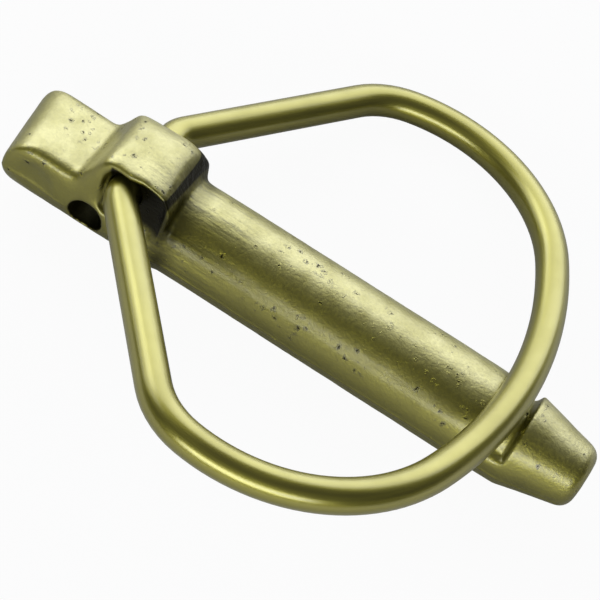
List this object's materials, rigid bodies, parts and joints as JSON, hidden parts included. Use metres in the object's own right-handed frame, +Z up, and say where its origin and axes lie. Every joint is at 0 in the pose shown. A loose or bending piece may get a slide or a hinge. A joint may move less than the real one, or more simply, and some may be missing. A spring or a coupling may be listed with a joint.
{
  "type": "lynch pin",
  "caption": "Lynch pin: nosed steel pin with an eyed, humped head and a D-shaped wire ring that swings over and snaps into a groove near the tip.",
  "frame": {"origin": "on the shank's axis at the head's shoulder, where the shank starts", "axes": "+X along the shank towards its tip, +Z up from the floor that the part rests on; the pin is rolled about X until the low side of its ring meets that floor"},
  "size_m": [0.0646, 0.0557, 0.019],
  "materials": {
    "pin_steel": "forged steel, zinc plated with an olive-yellow passivation, satin",
    "ring_wire": "drawn steel wire, zinc plated with an olive-yellow passivation, satin"
  },
  "bodies": {
    "pin": {"pin": "pin_steel"},
    "ring": {"ring": "ring_wire"}
  },
  "joints": [
    {"name": "ring_swing", "type": "hinge", "parent": "pin", "child": "ring", "pos_m": [-0.0053, 0.0012, 0.00403], "axis": [0, -0.9585, 0.2851], "range_deg": [0, 340]}
  ]
}
